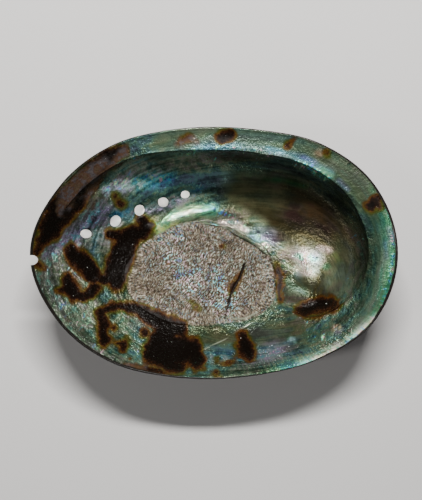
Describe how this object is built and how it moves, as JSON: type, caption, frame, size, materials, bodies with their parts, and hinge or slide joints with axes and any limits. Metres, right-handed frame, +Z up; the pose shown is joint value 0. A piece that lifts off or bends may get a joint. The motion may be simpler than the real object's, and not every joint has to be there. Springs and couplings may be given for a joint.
{
  "type": "abalone shell",
  "caption": "Empty ear-shaped sea shell lying on its back, pearly inside facing up, with a row of breathing holes and an inward ledge.",
  "frame": {"origin": "on the surface that the shell rests on, below the middle of its outline", "axes": "+X towards the blunt end over the spire, +Y towards the row of breathing holes and the wide ledge, +Z up, out of the open side of the bowl"},
  "size_m": [0.1494, 0.1032, 0.0381],
  "materials": {
    "shell": "polished iridescent nacre inside, sage green and teal with blue, violet and pink glints, brown-black organic stains and a rough dark muscle scar; dull brick-brown ridged outer crust"
  },
  "bodies": {
    "root": {"shell": "shell"}
  },
  "joints": []
}
